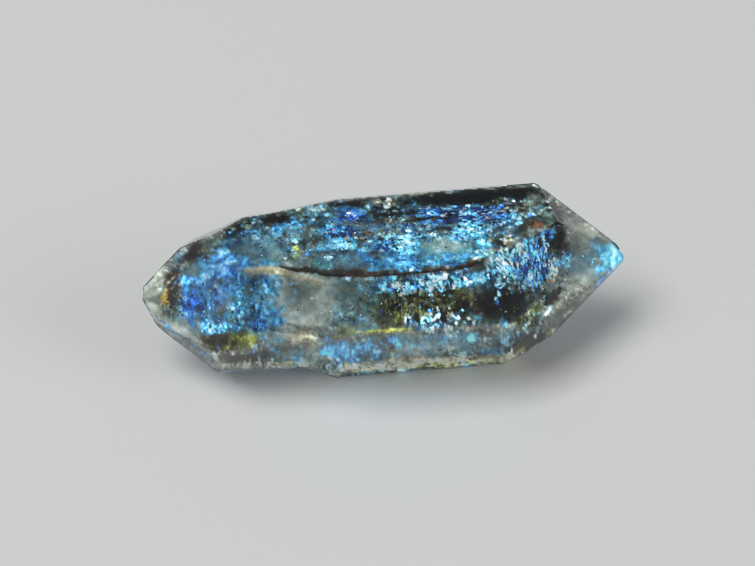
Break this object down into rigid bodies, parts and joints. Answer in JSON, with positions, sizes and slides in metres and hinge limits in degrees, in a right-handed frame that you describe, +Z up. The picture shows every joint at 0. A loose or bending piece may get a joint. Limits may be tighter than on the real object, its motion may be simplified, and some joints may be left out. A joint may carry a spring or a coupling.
{
  "type": "petroleum quartz crystal",
  "caption": "Clear, doubly pointed quartz crystal lying on its broad lower face, filled with blue, gold and dark petroleum inclusions and milky veils.",
  "frame": {"origin": "bottom centre of the crystal's bounding box, on the plane that it lies on", "axes": "+X along the c axis towards the sharp tip, +Y away from the viewer, +Z up"},
  "size_m": [0.0248, 0.0106, 0.008],
  "materials": {
    "quartz": "clear, glossy growth faces with fine cross striations, faintly milky, frosted at the blunt tip",
    "petroleum_film": "fluorescent hydrocarbon in flat cavities, from deep blue to cyan, sealed in the quartz",
    "gold_film": "yellow to rusty films on healed fractures, sealed in the quartz",
    "bitumen": "dark brown solid bitumen, sealed in the quartz",
    "milky_veil": "veils of fine fluid inclusions and a cottony patch, sealed in the quartz"
  },
  "bodies": {
    "root": {"quartz_crystal": "quartz"}
  },
  "joints": []
}
